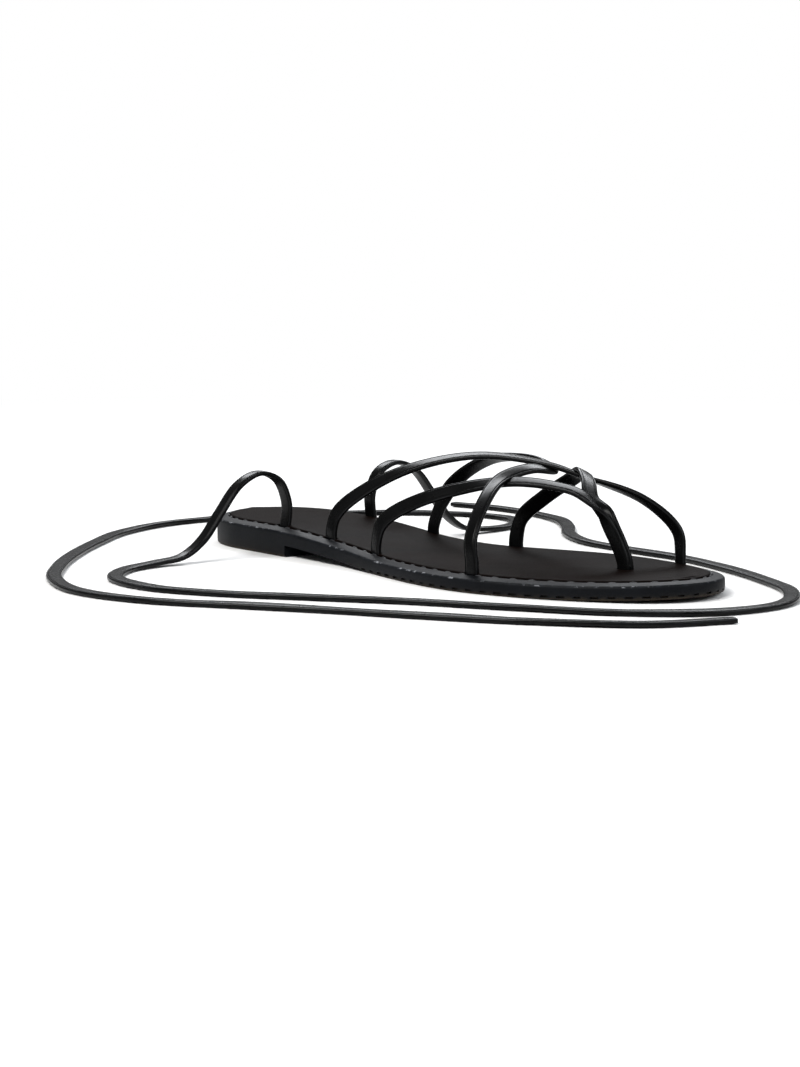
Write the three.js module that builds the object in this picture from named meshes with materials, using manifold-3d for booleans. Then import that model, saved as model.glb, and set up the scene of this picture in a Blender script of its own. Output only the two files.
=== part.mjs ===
// Gladiator sandal for the right foot: a thin moulded sole with a low heel block, a lined
// footbed let into its rim, four narrow straps joined where they cross, and two long ties.
// Millimetres, +X towards the toe, +Y towards the inner side of the foot, +Z up.
import * as THREE from "three";
import { mergeVertices } from "three/addons/utils/BufferGeometryUtils.js";
import Module from "manifold-3d";

const wasm = await Module();
wasm.setup();

// Driving dimensions of the sole, measured from the back of the heel
const SOLE_LENGTH = 252.5;
const HEEL = { x: 36, width: 57 };
const WAIST = { x: 98, width: 55 };
const BALL = { x: 182, width: 87 };
const TOE_FULLNESS = 1.7;
const WAIST_SHIFT = { end: 110, y: -5 };
const TOE_SHIFT = { end: 250, y: 12 };
const WALL_HEIGHT = 5.0;
const BOTTOM_BEVEL = 0.7;
const CORNER_BEVEL = 0.5;
const RIM_WIDTH = 4.7;
const RIM_RISE = 0.9;
const RECESS_DEPTH = 2.2;
const HEEL_BREAST_X = 68.6;
const ARCH = { start: 55, end: 140, rise: 4.9 };
const TOE_SPRING = { start: 200, rise: 1.7 };
const TREAD = { pitch: 6, width: 2.4, depth: 1, inset: 4, heelStart: 9, foreStart: 144, end: 244 };

// Footbed
const GAP = 0.3;
const FOOTBED_PROUD = 0.5;
const FOOTBED_BEVEL = 0.7;

// Strap stock, and the last that the straps were drawn over
const STRAP_WIDTH = 5.8;
const STRAP_THICKNESS = 1.9;
const STRAP_EDGE = 0.7;
const SECTION_STEP = 4;
const CORE = { y: 5, sideZ: 10, middleZ: -10, lean: 0.4 };
const SLOT_INSET = RIM_WIDTH + GAP + STRAP_THICKNESS / 2;
const POST = { x: 212, y: 9, layers: 3.5, offset: 0.8 };
const LAYER = 1.6;
const FOOT_TURN = { start: 4, end: 18 };
const POST_TURN = { start: 16, end: 34 };

// Ties
const TIE_X = 60;
const TIE_INSET = SLOT_INSET + 0.35;
const TIE_STEPS = 80;
const FLOOR_REST = STRAP_THICKNESS / 2 + 0.1;
const TOUCH_DOWN = 0.5;

const RING_COUNT = 168;

// Where one strap passes over another, on the middle line of the lower one
const C_OVER_B = new THREE.Vector3(168, -9, 35.3);
const A_OVER_C = new THREE.Vector3(167, 15, 38.2);
const M_OVER_A = new THREE.Vector3(178, 20.5, 36.2);

// The four straps.  Each goes from a slot at the rim, over its shoulder, through its crossings
// and down to another slot or to the toe post.
const STRAP_A = {
  from: { x: 91, side: "lateral" },
  through: [
    at(92, -24, 19),
    at(104, -17, 29.5),
    at(122, -8, 38),
    at(143, 3.5, 42.3),
    over(A_OVER_C),
    M_OVER_A,
    at(198, 32, 28.5),
    at(210, 37, 18),
  ],
  to: { x: 212, side: "medial" },
};
const STRAP_B = {
  from: { x: 121, side: "lateral" },
  through: [
    at(123, -28, 18),
    at(137, -22, 27),
    C_OVER_B,
    at(186, -1, 34.8),
    at(195, 3.5, 32.2),
    at(203, 6.5, 25),
  ],
  to: { x: POST.x, y: POST.y - POST.offset, facing: 1 },
};
const STRAP_C = {
  from: { x: 182, side: "lateral" },
  through: [
    at(180, -35, 18),
    at(175, -24, 30.5),
    over(C_OVER_B),
    at(168, 4, 39.3),
    A_OVER_C,
    at(159, 20.5, 39.8),
    at(146, 22, 40.6),
    at(125, 21.5, 38),
    at(107, 19.5, 27),
  ],
  to: { x: 100, side: "medial" },
};
const STRAP_M = {
  from: { x: 138, side: "medial" },
  through: [
    at(140, 25.5, 17),
    at(152, 26, 26),
    at(167, 25.5, 34),
    over(M_OVER_A),
    at(188, 14, 35.5),
    at(196, 8, 30.8),
    at(203.5, 8.3, 25),
  ],
  to: { x: POST.x, y: POST.y + POST.offset, facing: -1 },
};

// Free part of each tie: how far out and how high it rises over the rim, then its route along
// the floor, chosen so that it lies in open curves
const TIE_RISE = table(["out", "z"], [
  [-1, 15],
  [-1, 20],
  [3, 28.5],
  [12, 32],
  [22, 28],
  [31, 18],
  [39, 8.5],
  [48, 3],
]);
const TIES = {
  lateral: {
    outward: -1,
    route: table(["x", "y"], [
      [60, -85], [65, -102], [82, -118], [108, -122], [135, -112], [165, -92], [195, -72],
      [225, -56], [255, -38], [277, -12], [278, 18], [260, 42], [232, 58], [202, 70],
      [172, 78], [142, 80], [114, 84], [92, 96], [74, 112], [54, 126], [30, 134], [4, 136],
      [-20, 132],
    ]),
  },
  medial: {
    outward: 1,
    route: table(["x", "y"], [
      [60, 82], [54, 100], [36, 114], [12, 110], [-12, 90], [-30, 62], [-42, 30], [-43, -5],
      [-30, -38], [-8, -66], [16, -92], [42, -116], [70, -136], [100, -146], [132, -141],
      [162, -124], [192, -106], [222, -90], [252, -72], [280, -48], [292, -20],
    ]),
  },
};

function at(x, y, z) {
  return new THREE.Vector3(x, y, z);
}

function over(crossing) {
  return crossing.clone().setZ(crossing.z + LAYER);
}

function table(columns, rows) {
  return rows.map((row) => Object.fromEntries(columns.map((name, i) => [name, row[i]])));
}

// Half the sole's width: a round heel, a waist, the ball and a round toe
function halfWidth(x) {
  const { smoothstep } = THREE.MathUtils;
  if (x < HEEL.x) return HEEL.width / 2 * Math.sqrt(1 - ((HEEL.x - x) / HEEL.x) ** 2);
  if (x > BALL.x) {
    const forward = Math.min(1, (x - BALL.x) / (SOLE_LENGTH - BALL.x));
    return BALL.width / 2 * Math.sqrt(1 - forward ** TOE_FULLNESS);
  }
  const heelExtra = (HEEL.width - WAIST.width) / 2 * (1 - smoothstep(x, HEEL.x, WAIST.x));
  const ballExtra = (BALL.width - WAIST.width) / 2 * smoothstep(x, WAIST.x, BALL.x);
  return WAIST.width / 2 + heelExtra + ballExtra;
}

// The sole's middle line goes outwards at the waist and inwards to the big toe
function middleLine(x) {
  const { smoothstep } = THREE.MathUtils;
  const outwards = WAIST_SHIFT.y * smoothstep(x, 0, WAIST_SHIFT.end);
  return outwards + TOE_SHIFT.y * smoothstep(x, WAIST_SHIFT.end, TOE_SHIFT.end);
}

// Height of the sole's underside above the ground, with no heel block
function underside(x) {
  const arch = ARCH.rise * (1 - THREE.MathUtils.smoothstep(x, ARCH.start, ARCH.end));
  const forward = Math.max(0, x - TOE_SPRING.start) / (SOLE_LENGTH - TOE_SPRING.start);
  return arch + TOE_SPRING.rise * forward ** 2;
}

function toeSpring(x) {
  return x > TOE_SPRING.start ? underside(x) : 0;
}

function rimHeight(x) {
  return underside(x) + WALL_HEIGHT + RIM_RISE;
}

function recessFloor(x) {
  return rimHeight(x) - RECESS_DEPTH;
}

function footbedTop(x) {
  return rimHeight(x) + FOOTBED_PROUD;
}

// Point of the edge, u from 0 to 1 along the lateral side to the toe and back on the medial side
function edgePoint(u) {
  const angle = 2 * Math.PI * u;
  const x = SOLE_LENGTH / 2 * (1 - Math.cos(angle));
  return new THREE.Vector3(x, middleLine(x) - Math.sign(Math.sin(angle)) * halfWidth(x), 0);
}

function edgeTangent(u) {
  const step = 1e-3;
  return edgePoint(u + step).sub(edgePoint(u - step)).normalize();
}

function outlinePoint(u, inset) {
  const tangent = edgeTangent(u);
  return edgePoint(u).add(new THREE.Vector3(-tangent.y, tangent.x, 0).multiplyScalar(inset));
}

// One ring round the sole: inwards by inset, at the height that z gives for each x
function ring(inset, z) {
  return Array.from({ length: RING_COUNT }, (_, i) => {
    const point = outlinePoint(i / RING_COUNT, inset);
    point.z = z(point.x);
    return point;
  });
}

// Place and outward direction in plan where a strap goes down beside the rim
function slotAt({ x, side }, inset = SLOT_INSET) {
  let low = side === "lateral" ? 0 : 1;
  let high = 0.5;
  for (let i = 0; i < 40; i += 1) {
    const middle = (low + high) / 2;
    if (outlinePoint(middle, inset).x < x) low = middle;
    else high = middle;
  }
  const point = outlinePoint(low, inset);
  const tangent = edgeTangent(low);
  return { point, outward: new THREE.Vector3(tangent.y, -tangent.x, 0) };
}

function trianglesToGeometry(points, triangles) {
  const geometry = new THREE.BufferGeometry();
  geometry.setAttribute("position", new THREE.Float32BufferAttribute(points.flatMap((p) => [p.x, p.y, p.z]), 3));
  geometry.setIndex(triangles.flat());
  return geometry;
}

// Faces that join each ring to the next
function bandFaces(ringTotal, count) {
  const faces = [];
  for (let r = 0; r < ringTotal - 1; r += 1) {
    for (let i = 0; i < count; i += 1) {
      const a = r * count + i;
      const b = r * count + (i + 1) % count;
      faces.push([a, b, b + count], [a, b + count, a + count]);
    }
  }
  return faces;
}

// Solid through rings of the sole, closed by strips from the outer side to the inner side
function soleSolid(rings) {
  const count = RING_COUNT;
  const faces = bandFaces(rings.length, count);
  const top = (rings.length - 1) * count;
  for (let i = 0; i < count / 2; i += 1) {
    const near = [i, i + 1];
    const far = [(count - i) % count, count - i - 1];
    const strip = [];
    if (near[0] !== far[0]) strip.push([near[0], far[1], far[0]]);
    if (near[1] !== far[1]) strip.push([near[0], near[1], far[1]]);
    for (const [a, b, c] of strip) {
      faces.push([top + a, top + b, top + c], [a, c, b]);
    }
  }
  return toManifold(trianglesToGeometry(rings.flat(), faces));
}

function toManifold(source) {
  const plain = new THREE.BufferGeometry();
  plain.setAttribute("position", source.getAttribute("position"));
  if (source.index) plain.setIndex(source.index);
  const merged = mergeVertices(plain, 1e-4);
  return new wasm.Manifold(new wasm.Mesh({
    numProp: 3,
    vertProperties: new Float32Array(merged.getAttribute("position").array),
    triVerts: new Uint32Array(merged.index.array),
  }));
}

function fromManifold(solid) {
  const mesh = solid.getMesh();
  const geometry = new THREE.BufferGeometry();
  geometry.setAttribute("position", new THREE.BufferAttribute(mesh.vertProperties, 3));
  geometry.setIndex(new THREE.BufferAttribute(mesh.triVerts, 1));
  const faceted = geometry.toNonIndexed();
  faceted.computeVertexNormals();
  return faceted;
}

// Prism across the whole width of the sole, from corners given as [x, z]
function crossPrism(corners) {
  const halfWidth = 60;
  const shape = new THREE.Shape(corners.map(([x, z]) => new THREE.Vector2(x, z)));
  const prism = new THREE.ExtrudeGeometry(shape, { depth: 2 * halfWidth, bevelEnabled: false });
  prism.rotateX(Math.PI / 2);
  prism.translate(0, halfWidth, 0);
  return toManifold(prism);
}

// Box round a slot, with its thin side along the outward direction
function slotBox(centre, outward, width, thickness, bottom, top) {
  const box = new THREE.BoxGeometry(width, thickness, top - bottom);
  box.rotateZ(Math.atan2(outward.y, outward.x) - Math.PI / 2);
  box.translate(centre.x, centre.y, (bottom + top) / 2);
  return toManifold(box);
}

function archCutter() {
  const corners = [[ARCH.end, -5], [HEEL_BREAST_X, -5]];
  const steps = 12;
  for (let i = 0; i <= steps; i += 1) {
    const x = THREE.MathUtils.lerp(HEEL_BREAST_X, ARCH.end, i / steps);
    corners.push([x, underside(x)]);
  }
  return crossPrism(corners);
}

// Grooves across the sole that stop short of its edge
function treadCutters() {
  const within = soleSolid([ring(TREAD.inset, () => -10), ring(TREAD.inset, () => 10)]);
  const starts = [];
  for (let x = TREAD.heelStart; x < HEEL_BREAST_X - TREAD.pitch; x += TREAD.pitch) starts.push(x);
  for (let x = TREAD.foreStart; x < TREAD.end; x += TREAD.pitch) starts.push(x);
  return starts.map((x) => {
    const end = x + TREAD.width;
    const roof = toeSpring(x) + TREAD.depth;
    return crossPrism([[x, -5], [end, -5], [end, roof], [x, roof]]).intersect(within);
  });
}

function outsole() {
  const wallTop = (x) => underside(x) + WALL_HEIGHT;
  let solid = soleSolid([
    ring(BOTTOM_BEVEL, toeSpring),
    ring(0, (x) => toeSpring(x) + BOTTOM_BEVEL),
    ring(0, (x) => wallTop(x) - CORNER_BEVEL),
    ring(CORNER_BEVEL, wallTop),
    ring(RIM_WIDTH, rimHeight),
    ring(RIM_WIDTH, recessFloor),
  ]);
  solid = solid.subtract(archCutter());
  for (const cutter of treadCutters()) solid = solid.subtract(cutter);
  return solid;
}

function footbed() {
  const inset = RIM_WIDTH + GAP;
  const topEdge = (x) => footbedTop(x) - FOOTBED_BEVEL;
  let solid = soleSolid([
    ring(inset, (x) => recessFloor(x) + GAP),
    ring(inset, topEdge),
    ring(inset + FOOTBED_BEVEL, footbedTop),
  ]);
  const width = STRAP_WIDTH + 2 * GAP;
  const thickness = STRAP_THICKNESS + 2 * GAP;
  const ends = [STRAP_A.from, STRAP_A.to, STRAP_B.from, STRAP_C.from, STRAP_C.to, STRAP_M.from];
  for (const end of ends) {
    const { point, outward } = slotAt(end);
    solid = solid.subtract(slotBox(point, outward, width, thickness, 0, 30));
  }
  for (const side of ["lateral", "medial"]) {
    const { point } = slotAt({ x: TIE_X, side }, TIE_INSET);
    const straight = new THREE.Vector3(0, 1, 0);
    solid = solid.subtract(slotBox(point, straight, width, thickness + 2 * GAP, 0, 30));
  }
  const sideways = new THREE.Vector3(0, 1, 0);
  const postThickness = POST.layers + 2 * GAP;
  return solid.subtract(slotBox(POST, sideways, width, postThickness, 0, 30));
}

// Corners of the strap's section as [across, outwards], anticlockwise about its direction
function strapSection() {
  const w = STRAP_WIDTH / 2;
  const t = STRAP_THICKNESS / 2;
  const flat = w - STRAP_EDGE;
  const side = t * 0.45;
  return [[w, -side], [w, side], [flat, t], [-flat, t], [-w, side], [-w, -side], [-flat, -t], [flat, -t]];
}

// Direction out of the last at a point of a strap
function outOfLast(point) {
  const side = THREE.MathUtils.smoothstep(Math.abs(point.y - CORE.y), 8, 22);
  const coreZ = THREE.MathUtils.lerp(CORE.middleZ, CORE.sideZ, side);
  const lean = CORE.lean * (point.z - coreZ);
  return new THREE.Vector3(lean, point.y - CORE.y, point.z - coreZ);
}

// The foot of a strap: its lowest point, a point straight above it, and its facing
function strapFoot(end) {
  const place = end.facing
    ? { point: new THREE.Vector3(end.x, end.y, 0), outward: new THREE.Vector3(0, end.facing, 0) }
    : slotAt(end);
  const low = place.point.clone().setZ(recessFloor(end.x - STRAP_WIDTH / 2) + GAP);
  const high = place.point.clone().setZ(footbedTop(end.x) + 3);
  return { low, high, outward: place.outward, turn: end.facing ? POST_TURN : FOOT_TURN };
}

function strap({ from, through, to }) {
  const { smoothstep } = THREE.MathUtils;
  const start = strapFoot(from);
  const finish = strapFoot(to);
  const path = new THREE.CatmullRomCurve3([
    start.low,
    start.high,
    ...through,
    finish.high,
    finish.low,
  ], false, "centripetal");
  const length = path.getLength();
  const steps = Math.round(length / SECTION_STEP);
  const section = strapSection();
  const points = [];
  for (let i = 0; i <= steps; i += 1) {
    const u = i / steps;
    const centre = path.getPointAt(u);
    const tangent = path.getTangentAt(u);
    const facing = outOfLast(centre).normalize();
    const atStart = 1 - smoothstep(u * length, start.turn.start, start.turn.end);
    const atFinish = 1 - smoothstep((1 - u) * length, finish.turn.start, finish.turn.end);
    facing.lerp(start.outward, atStart).lerp(finish.outward, atFinish);
    facing.addScaledVector(tangent, -facing.dot(tangent)).normalize();
    const across = facing.clone().cross(tangent);
    for (const [a, b] of section) {
      points.push(centre.clone().addScaledVector(across, a).addScaledVector(facing, b));
    }
  }
  const faces = bandFaces(steps + 1, section.length);
  const last = steps * section.length;
  for (let i = 1; i < section.length - 1; i += 1) {
    faces.push([0, i + 1, i], [last, last + i, last + i + 1]);
  }
  return toManifold(trianglesToGeometry(points, faces));
}

function upper() {
  return strap(STRAP_A).add(strap(STRAP_B)).add(strap(STRAP_C)).add(strap(STRAP_M));
}

function tie(side) {
  const { outward, route } = TIES[side];
  const { point } = slotAt({ x: TIE_X, side }, TIE_INSET);
  const path = new THREE.CatmullRomCurve3([
    at(TIE_X, point.y, recessFloor(TIE_X - STRAP_WIDTH / 2) + GAP),
    ...TIE_RISE.map((row) => at(TIE_X, point.y + outward * row.out, row.z)),
    ...route.map((row, i) => at(row.x, row.y, FLOOR_REST + (i === 0 ? TOUCH_DOWN : 0))),
  ], false, "centripetal");
  const section = new THREE.Shape(strapSection().map(([a, b]) => new THREE.Vector2(a, b)));
  const geometry = new THREE.ExtrudeGeometry(section, { steps: TIE_STEPS, extrudePath: path });
  return toManifold(geometry);
}

function addPiece(group, name, solid, colour, roughness) {
  const material = new THREE.MeshStandardMaterial({ color: colour, roughness, metalness: 0 });
  const mesh = new THREE.Mesh(fromManifold(solid), material);
  mesh.name = name;
  mesh.position.set(-SOLE_LENGTH / 2, -soleMiddleY, 0);
  group.add(mesh);
}

const edgeYs = ring(0, () => 0).map((point) => point.y);
const soleMiddleY = (Math.min(...edgeYs) + Math.max(...edgeYs)) / 2;
const sandal = new THREE.Group();
sandal.name = "gladiator_sandal";
addPiece(sandal, "outsole", outsole(), 0x14161a, 0.55);
addPiece(sandal, "footbed", footbed(), 0x1a1514, 0.45);
addPiece(sandal, "upper", upper(), 0x0d0e0f, 0.35);
addPiece(sandal, "tie_lateral", tie("lateral"), 0x0d0e0f, 0.35);
addPiece(sandal, "tie_medial", tie("medial"), 0x0d0e0f, 0.35);

export default sandal;
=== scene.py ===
"""Gladiator sandal for the right foot, standing on its sole with its ties loose on the floor.

Lengths in the tables are millimetres from the back of the heel: x to the toe, y to the
inner side of the foot, z up.  place() turns them into metres in the frame of the part.
"""

import math

import bmesh
import bpy
import numpy as np
from bpy.props import FloatProperty, FloatVectorProperty, PointerProperty
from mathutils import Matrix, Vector, noise


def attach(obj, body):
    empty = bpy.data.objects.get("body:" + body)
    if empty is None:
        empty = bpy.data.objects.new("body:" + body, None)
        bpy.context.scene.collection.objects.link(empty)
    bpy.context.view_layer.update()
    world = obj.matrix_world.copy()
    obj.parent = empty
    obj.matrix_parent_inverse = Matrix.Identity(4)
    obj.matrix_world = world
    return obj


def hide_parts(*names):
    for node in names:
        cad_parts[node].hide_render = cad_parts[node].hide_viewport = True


bl_info = {
    "name": "Gladiator sandal",
    "version": (1, 0, 0),
    "blender": (4, 5, 0),
    "location": "3D View > Sidebar > Sandal",
    "description": "Builds a flat lace-up sandal piece by piece",
    "category": "Object",
}

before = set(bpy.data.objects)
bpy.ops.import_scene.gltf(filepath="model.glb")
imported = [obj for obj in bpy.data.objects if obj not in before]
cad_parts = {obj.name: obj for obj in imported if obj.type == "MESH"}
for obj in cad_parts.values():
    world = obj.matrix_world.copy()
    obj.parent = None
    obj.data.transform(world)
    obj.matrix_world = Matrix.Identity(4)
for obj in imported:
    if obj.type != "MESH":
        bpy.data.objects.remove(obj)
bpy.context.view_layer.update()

MM = 0.001
SOLE_LENGTH = 252.5
HEEL_X, HEEL_WIDTH = 36.0, 57.0
WAIST_X, WAIST_WIDTH = 98.0, 55.0
BALL_X, BALL_WIDTH = 182.0, 87.0
TOE_FULLNESS = 1.7
WAIST_SHIFT_END, WAIST_SHIFT = 110.0, -5.0
TOE_SHIFT_END, TOE_SHIFT = 250.0, 12.0
WALL_HEIGHT = 5.0
RIM_WIDTH = 4.7
RIM_RISE = 0.9
RECESS_DEPTH = 2.2
HEEL_BREAST_X = 68.6
ARCH_START, ARCH_END, ARCH_RISE = 55.0, 140.0, 4.9
TOE_SPRING_START, TOE_SPRING_RISE = 200.0, 1.7
GAP = 0.3
FOOTBED_PROUD = 0.5
STRAP_WIDTH = 5.8
STRAP_THICKNESS = 1.9
SLOT_INSET = RIM_WIDTH + GAP + STRAP_THICKNESS / 2
TIE_X = 60.0
TIE_INSET = SLOT_INSET + 0.35
FLOOR_REST = STRAP_THICKNESS / 2 + 0.1
TOUCH_DOWN = 0.5
LAYER = 1.6
POST_X, POST_Y, POST_LAYERS, POST_OFFSET = 212.0, 9.0, 3.5, 0.8

# Cutters, notches, stitches and steps along the straps
TREAD_INSET = 4.0
CUTTER_REACH = 60.0
COMB_HEIGHT = 6.0
HEEL_COMB, FORE_COMB = (10.2, 9), (145.2, 17)
NOTCH_START_X, NOTCH_Z, NOTCH_SEED = 118.0, 1.15, 11
NOTCH_SIZE = {"Length": 3.1, "Depth": 1.8, "Height": 0.75}
STITCH_SINK, STITCH_SHARE = 0.3, 0.42
SLOT_LOW, SLOT_HIGH = 1.0, 30.0
STRAP_STEP, TIE_STEP = 1.3, 1.8
SWAY_DEGREES, SWAY_START, SWAY_END = 9, 120, 170

# The last that the straps were drawn over, and the camera's place
CORE_Y, CORE_SIDE_Z, CORE_MIDDLE_Z, CORE_LEAN = 5.0, 10.0, -10.0, 0.4
VIEW_AZIMUTH, VIEW_ELEVATION, VIEW_DISTANCE = 50.0, 7.0, 1.05

# Between these lengths from its end a strap turns from its foot's facing to the last's
FOOT_TURN = (4, 18)
POST_TURN = (16, 34)

# Where one strap passes over another, on the middle line of the lower one
C_OVER_B = (168, -9, 35.3)
A_OVER_C = (167, 15, 38.2)
M_OVER_A = (178, 20.5, 36.2)


def over(crossing):
    return (crossing[0], crossing[1], crossing[2] + LAYER)


# Each strap: where it starts and ends, then its shoulders and crossings
STRAPS = {
    "a": ((91, "lateral"), (212, "medial"), [
        (92, -24, 19), (104, -17, 29.5), (122, -8, 38), (143, 3.5, 42.3),
        over(A_OVER_C), M_OVER_A, (198, 32, 28.5), (210, 37, 18),
    ]),
    "b": ((121, "lateral"), (POST_X, "post outer"), [
        (123, -28, 18), (137, -22, 27), C_OVER_B, (186, -1, 34.8), (195, 3.5, 32.2),
        (203, 6.5, 25),
    ]),
    "c": ((182, "lateral"), (100, "medial"), [
        (180, -35, 18), (175, -24, 30.5), over(C_OVER_B), (168, 4, 39.3), A_OVER_C,
        (159, 20.5, 39.8), (146, 22, 40.6), (125, 21.5, 38), (107, 19.5, 27),
    ]),
    "m": ((138, "medial"), (POST_X, "post inner"), [
        (140, 25.5, 17), (152, 26, 26), (167, 25.5, 34), over(M_OVER_A),
        (188, 14, 35.5), (196, 8, 30.8), (203.5, 8.3, 25),
    ]),
}

# Ties: how far out and how high over the rim first, then x, y of the route along the floor
TIE_RISE = [(-1, 15), (-1, 20), (3, 28.5), (12, 32), (22, 28), (31, 18), (39, 8.5), (48, 3)]
TIES = {
    "lateral": [
        (60, -85), (65, -102), (82, -118), (108, -122), (135, -112), (165, -92), (195, -72),
        (225, -56), (255, -38), (277, -12), (278, 18), (260, 42), (232, 58), (202, 70),
        (172, 78), (142, 80), (114, 84), (92, 96), (74, 112), (54, 126), (30, 134), (4, 136),
        (-20, 132),
    ],
    "medial": [
        (60, 82), (54, 100), (36, 114), (12, 110), (-12, 90), (-30, 62), (-42, 30), (-43, -5),
        (-30, -38), (-8, -66), (16, -92), (42, -116), (70, -136), (100, -146), (132, -141),
        (162, -124), (192, -106), (222, -90), (252, -72), (280, -48), (292, -20),
    ],
}

# ---------------------------------------------------------------- curves and the sole's shape


def smoothstep(value, low, high):
    t = min(max((value - low) / (high - low), 0.0), 1.0)
    return t * t * (3 - 2 * t)


def curve_through(points, steps=12):
    """Points on a centripetal Catmull-Rom curve through the given ones."""
    points = [np.array(p, dtype=float) for p in points]
    count = len(points)
    dense = []
    for i in range(count - 1):
        p1, p2 = points[i], points[i + 1]
        p0 = points[i - 1] if i > 0 else 2 * p1 - p2
        p3 = points[i + 2] if i + 2 < count else 2 * p2 - p1
        d0, d1, d2 = (math.sqrt(np.linalg.norm(b - a)) for a, b in ((p0, p1), (p1, p2), (p2, p3)))
        t1 = ((p1 - p0) / d0 - (p2 - p0) / (d0 + d1) + (p2 - p1) / d1) * d1
        t2 = ((p2 - p1) / d1 - (p3 - p1) / (d1 + d2) + (p3 - p2) / d2) * d1
        for j in range(steps):
            t = j / steps
            dense.append(
                (2 * t**3 - 3 * t**2 + 1) * p1 + (t**3 - 2 * t**2 + t) * t1
                + (3 * t**2 - 2 * t**3) * p2 + (t**3 - t**2) * t2
            )
    dense.append(points[-1])
    return np.array(dense)


def evenly(points, step):
    """The same line with its points a fixed step apart."""
    lengths = np.concatenate([[0], np.cumsum(np.linalg.norm(np.diff(points, axis=0), axis=1))])
    count = max(2, round(lengths[-1] / step))
    wanted = np.linspace(0, lengths[-1], count + 1)
    return np.stack([np.interp(wanted, lengths, points[:, k]) for k in range(3)], axis=1), wanted


def half_width(x):
    """Half the sole's width: a round heel, a waist, the ball and a round toe."""
    if x < HEEL_X:
        return HEEL_WIDTH / 2 * math.sqrt(1 - ((HEEL_X - x) / HEEL_X) ** 2)
    if x > BALL_X:
        forward = min(1.0, (x - BALL_X) / (SOLE_LENGTH - BALL_X))
        return BALL_WIDTH / 2 * math.sqrt(1 - forward**TOE_FULLNESS)
    heel_extra = (HEEL_WIDTH - WAIST_WIDTH) / 2 * (1 - smoothstep(x, HEEL_X, WAIST_X))
    ball_extra = (BALL_WIDTH - WAIST_WIDTH) / 2 * smoothstep(x, WAIST_X, BALL_X)
    return WAIST_WIDTH / 2 + heel_extra + ball_extra


def middle_line(x):
    """The sole's middle goes outwards at the waist and inwards to the big toe."""
    outwards = WAIST_SHIFT * smoothstep(x, 0, WAIST_SHIFT_END)
    return outwards + TOE_SHIFT * smoothstep(x, WAIST_SHIFT_END, TOE_SHIFT_END)


def edge_point(u):
    """Edge of the sole, u from 0 to 1 by the lateral side to the toe and back by the medial."""
    angle = 2 * math.pi * u
    x = SOLE_LENGTH / 2 * (1 - math.cos(angle))
    return np.array([x, middle_line(x) - math.copysign(half_width(x), math.sin(angle))])


RING = 288
OUTLINE = np.array([edge_point(i / RING) for i in range(RING)])
SOLE_MIDDLE_Y = (OUTLINE[:, 1].min() + OUTLINE[:, 1].max()) / 2
EDGE_STEP = 1e-3
_tangent = np.array([
    edge_point(i / RING + EDGE_STEP) - edge_point(i / RING - EDGE_STEP) for i in range(RING)
])
_tangent /= np.linalg.norm(_tangent, axis=1)[:, None]
INWARDS = np.stack([-_tangent[:, 1], _tangent[:, 0]], axis=1)


def place(point):
    """A point of the tables as metres in the frame of the part."""
    x, y, z = point
    return ((x - SOLE_LENGTH / 2) * MM, (y - SOLE_MIDDLE_Y) * MM, z * MM)


def underside(x):
    """Height of the sole's lower face above the floor, with no heel block."""
    arch = ARCH_RISE * (1 - smoothstep(x, ARCH_START, ARCH_END))
    forward = max(0.0, x - TOE_SPRING_START) / (SOLE_LENGTH - TOE_SPRING_START)
    return arch + TOE_SPRING_RISE * forward**2


def toe_spring(x):
    return underside(x) if x > TOE_SPRING_START else 0.0


def rim_height(x):
    return underside(x) + WALL_HEIGHT + RIM_RISE


def recess_floor(x):
    return rim_height(x) - RECESS_DEPTH


def footbed_top(x):
    return rim_height(x) + FOOTBED_PROUD


def ring(inset, height):
    """One ring round the sole, moved inwards, at the height given for each x."""
    flat = OUTLINE + INWARDS * inset
    return [(x, y, height(x)) for x, y in flat]


def slot_at(x, side, inset=SLOT_INSET):
    """Middle of a strap's slot beside the rim, and the direction out of the sole there."""
    flat = OUTLINE + INWARDS * inset
    half = RING // 2
    span = range(0, half) if side == "lateral" else range(half, RING)
    best = min(span, key=lambda i: abs(flat[i][0] - x))
    step = 1 if flat[best][0] < x else -1
    other = (best + (step if side == "lateral" else -step)) % RING
    share = (x - flat[best][0]) / (flat[other][0] - flat[best][0])
    point = flat[best] + (flat[other] - flat[best]) * share
    return point, -INWARDS[best]


# ---------------------------------------------------------------- meshes


def add_object(name, points, faces, attributes=None, smooth_angle=40):
    mesh = bpy.data.meshes.new(name)
    mesh.from_pydata([place(p) for p in points], [], faces)
    for key, values in (attributes or {}).items():
        layer = mesh.attributes.new(key, "FLOAT", "POINT")
        layer.data.foreach_set("value", values)
    mesh.validate()
    mesh.shade_smooth()
    mesh.set_sharp_from_angle(angle=math.radians(smooth_angle))
    made = bpy.data.objects.new(name, mesh)
    bpy.context.scene.collection.objects.link(made)
    return made


def band_faces(rings, count):
    faces = []
    for r in range(rings - 1):
        for i in range(count):
            a, b = r * count + i, r * count + (i + 1) % count
            faces.append((a, b, b + count, a + count))
    return faces


def cap_faces(base, down=False):
    """Strips that close a ring of the sole from its lateral to its medial side."""
    faces = []
    for i in range(RING // 2):
        near, far = (i, i + 1), (RING - i - 1, (RING - i) % RING)
        corners = list(dict.fromkeys(near + far))
        if down:
            corners.reverse()
        faces.append(tuple(base + c for c in corners))
    return faces


def sole_solid(name, rings, attributes=None, smooth_angle=40):
    points = [p for one in rings for p in one]
    faces = band_faces(len(rings), RING)
    faces += cap_faces((len(rings) - 1) * RING) + cap_faces(0, down=True)
    return add_object(name, points, faces, attributes, smooth_angle)


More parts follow.
